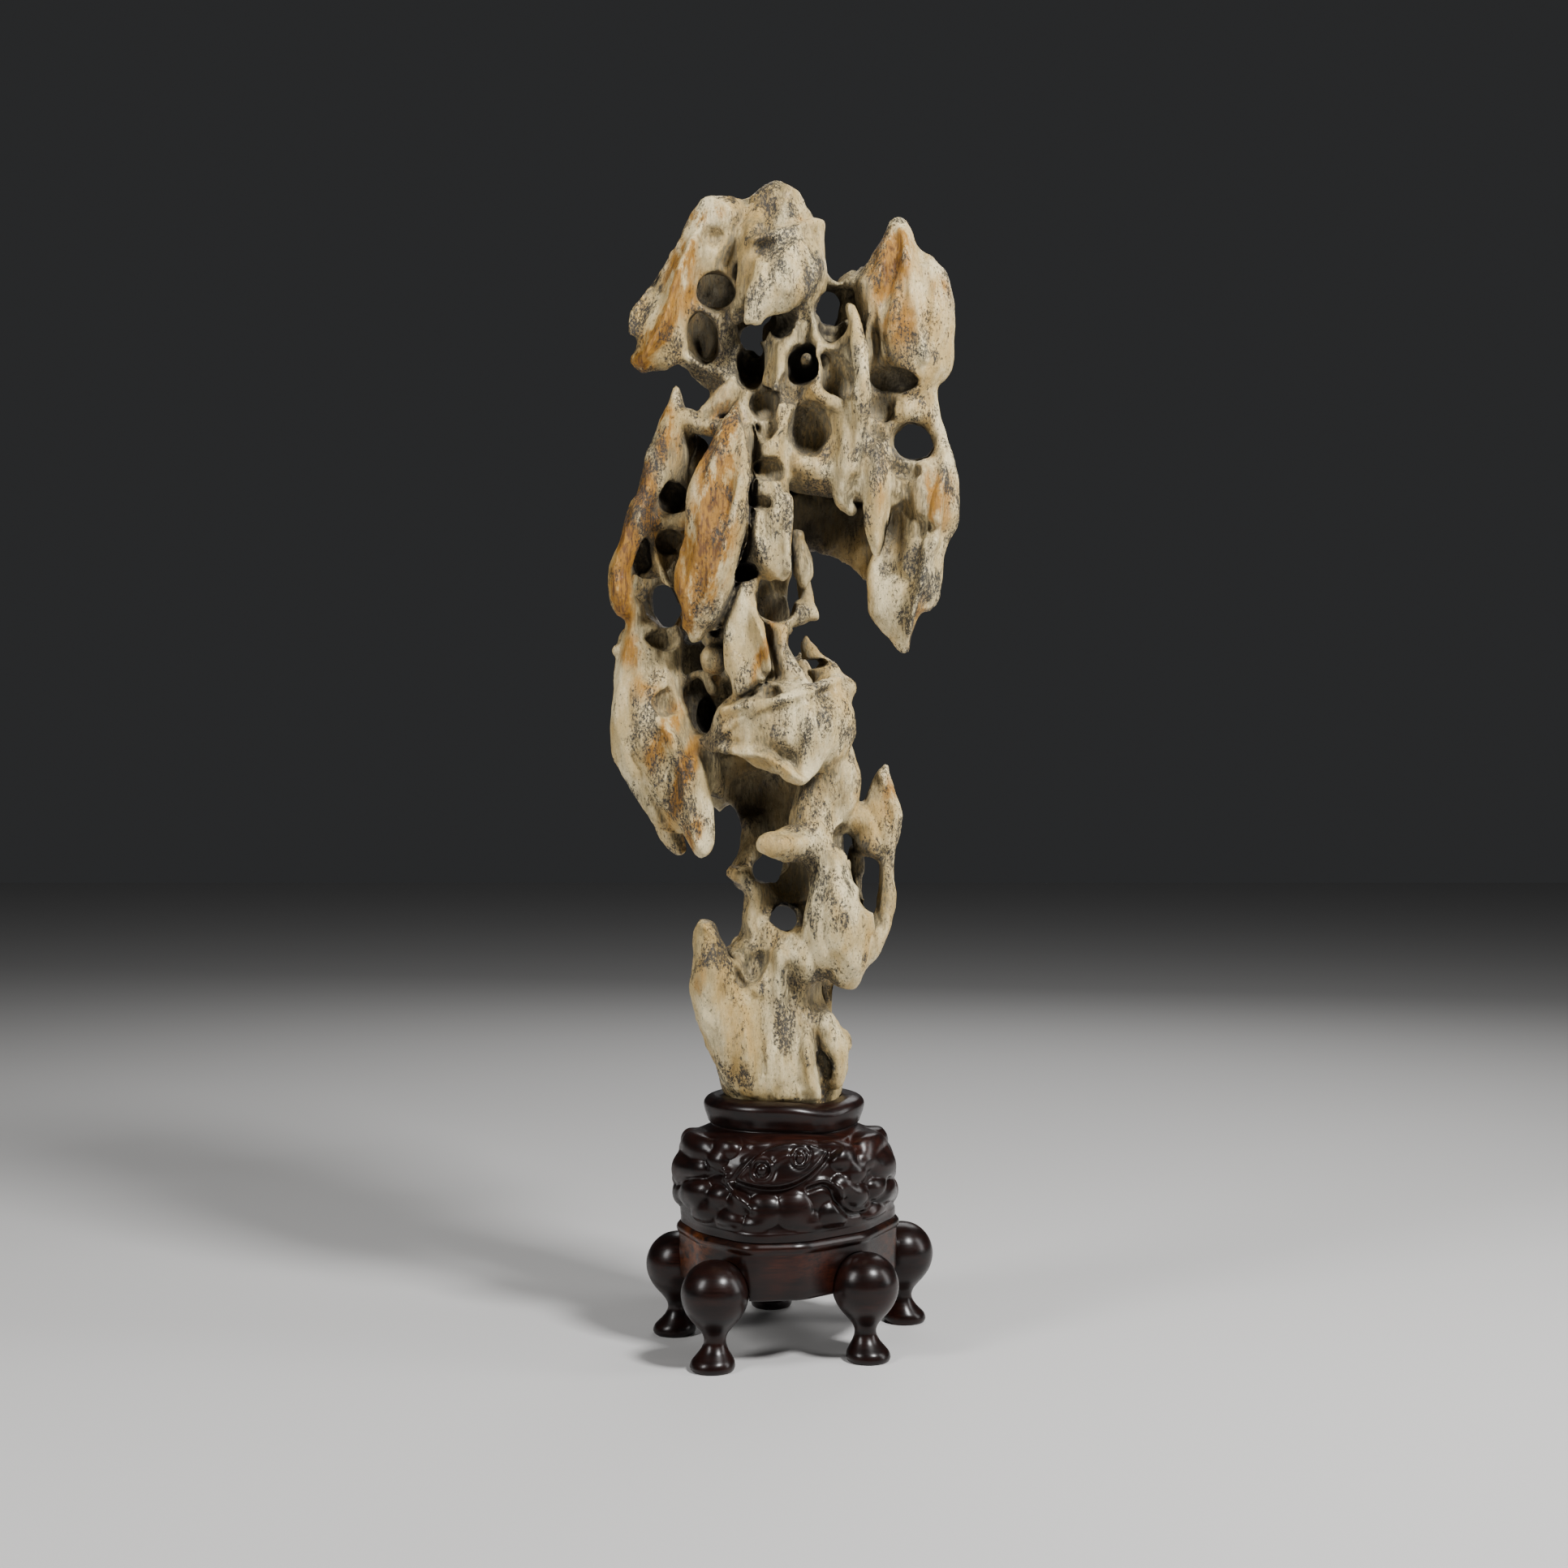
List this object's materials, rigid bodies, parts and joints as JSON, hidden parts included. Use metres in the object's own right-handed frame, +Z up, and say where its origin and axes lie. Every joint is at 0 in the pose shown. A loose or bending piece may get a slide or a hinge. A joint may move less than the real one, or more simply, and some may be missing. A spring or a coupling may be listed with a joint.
{
  "type": "scholar's rock on a carved hardwood stand",
  "caption": "Tall pierced natural stone with limbs, ledges and water-worn holes, standing in the socket of a carved hardwood stand on turned legs.",
  "frame": {"origin": "middle of the bounding box, on the plane that the legs stand on", "axes": "+Z up along the stone, +X to the right and +Y to the back when the carved motif faces the viewer"},
  "size_m": [0.2155, 0.188, 0.7153],
  "materials": {
    "stone": "worn and hand-polished limestone, cream with ochre stains and grey-black speckle",
    "stand_wood": "polished dark reddish-brown hardwood"
  },
  "bodies": {
    "root": {"stone": "stone", "stand_body": "stand_wood", "stand_apron": "stand_wood", "leg_front_left": "stand_wood", "leg_front_right": "stand_wood", "leg_side_right": "stand_wood", "leg_side_left": "stand_wood", "leg_back": "stand_wood"}
  },
  "joints": []
}
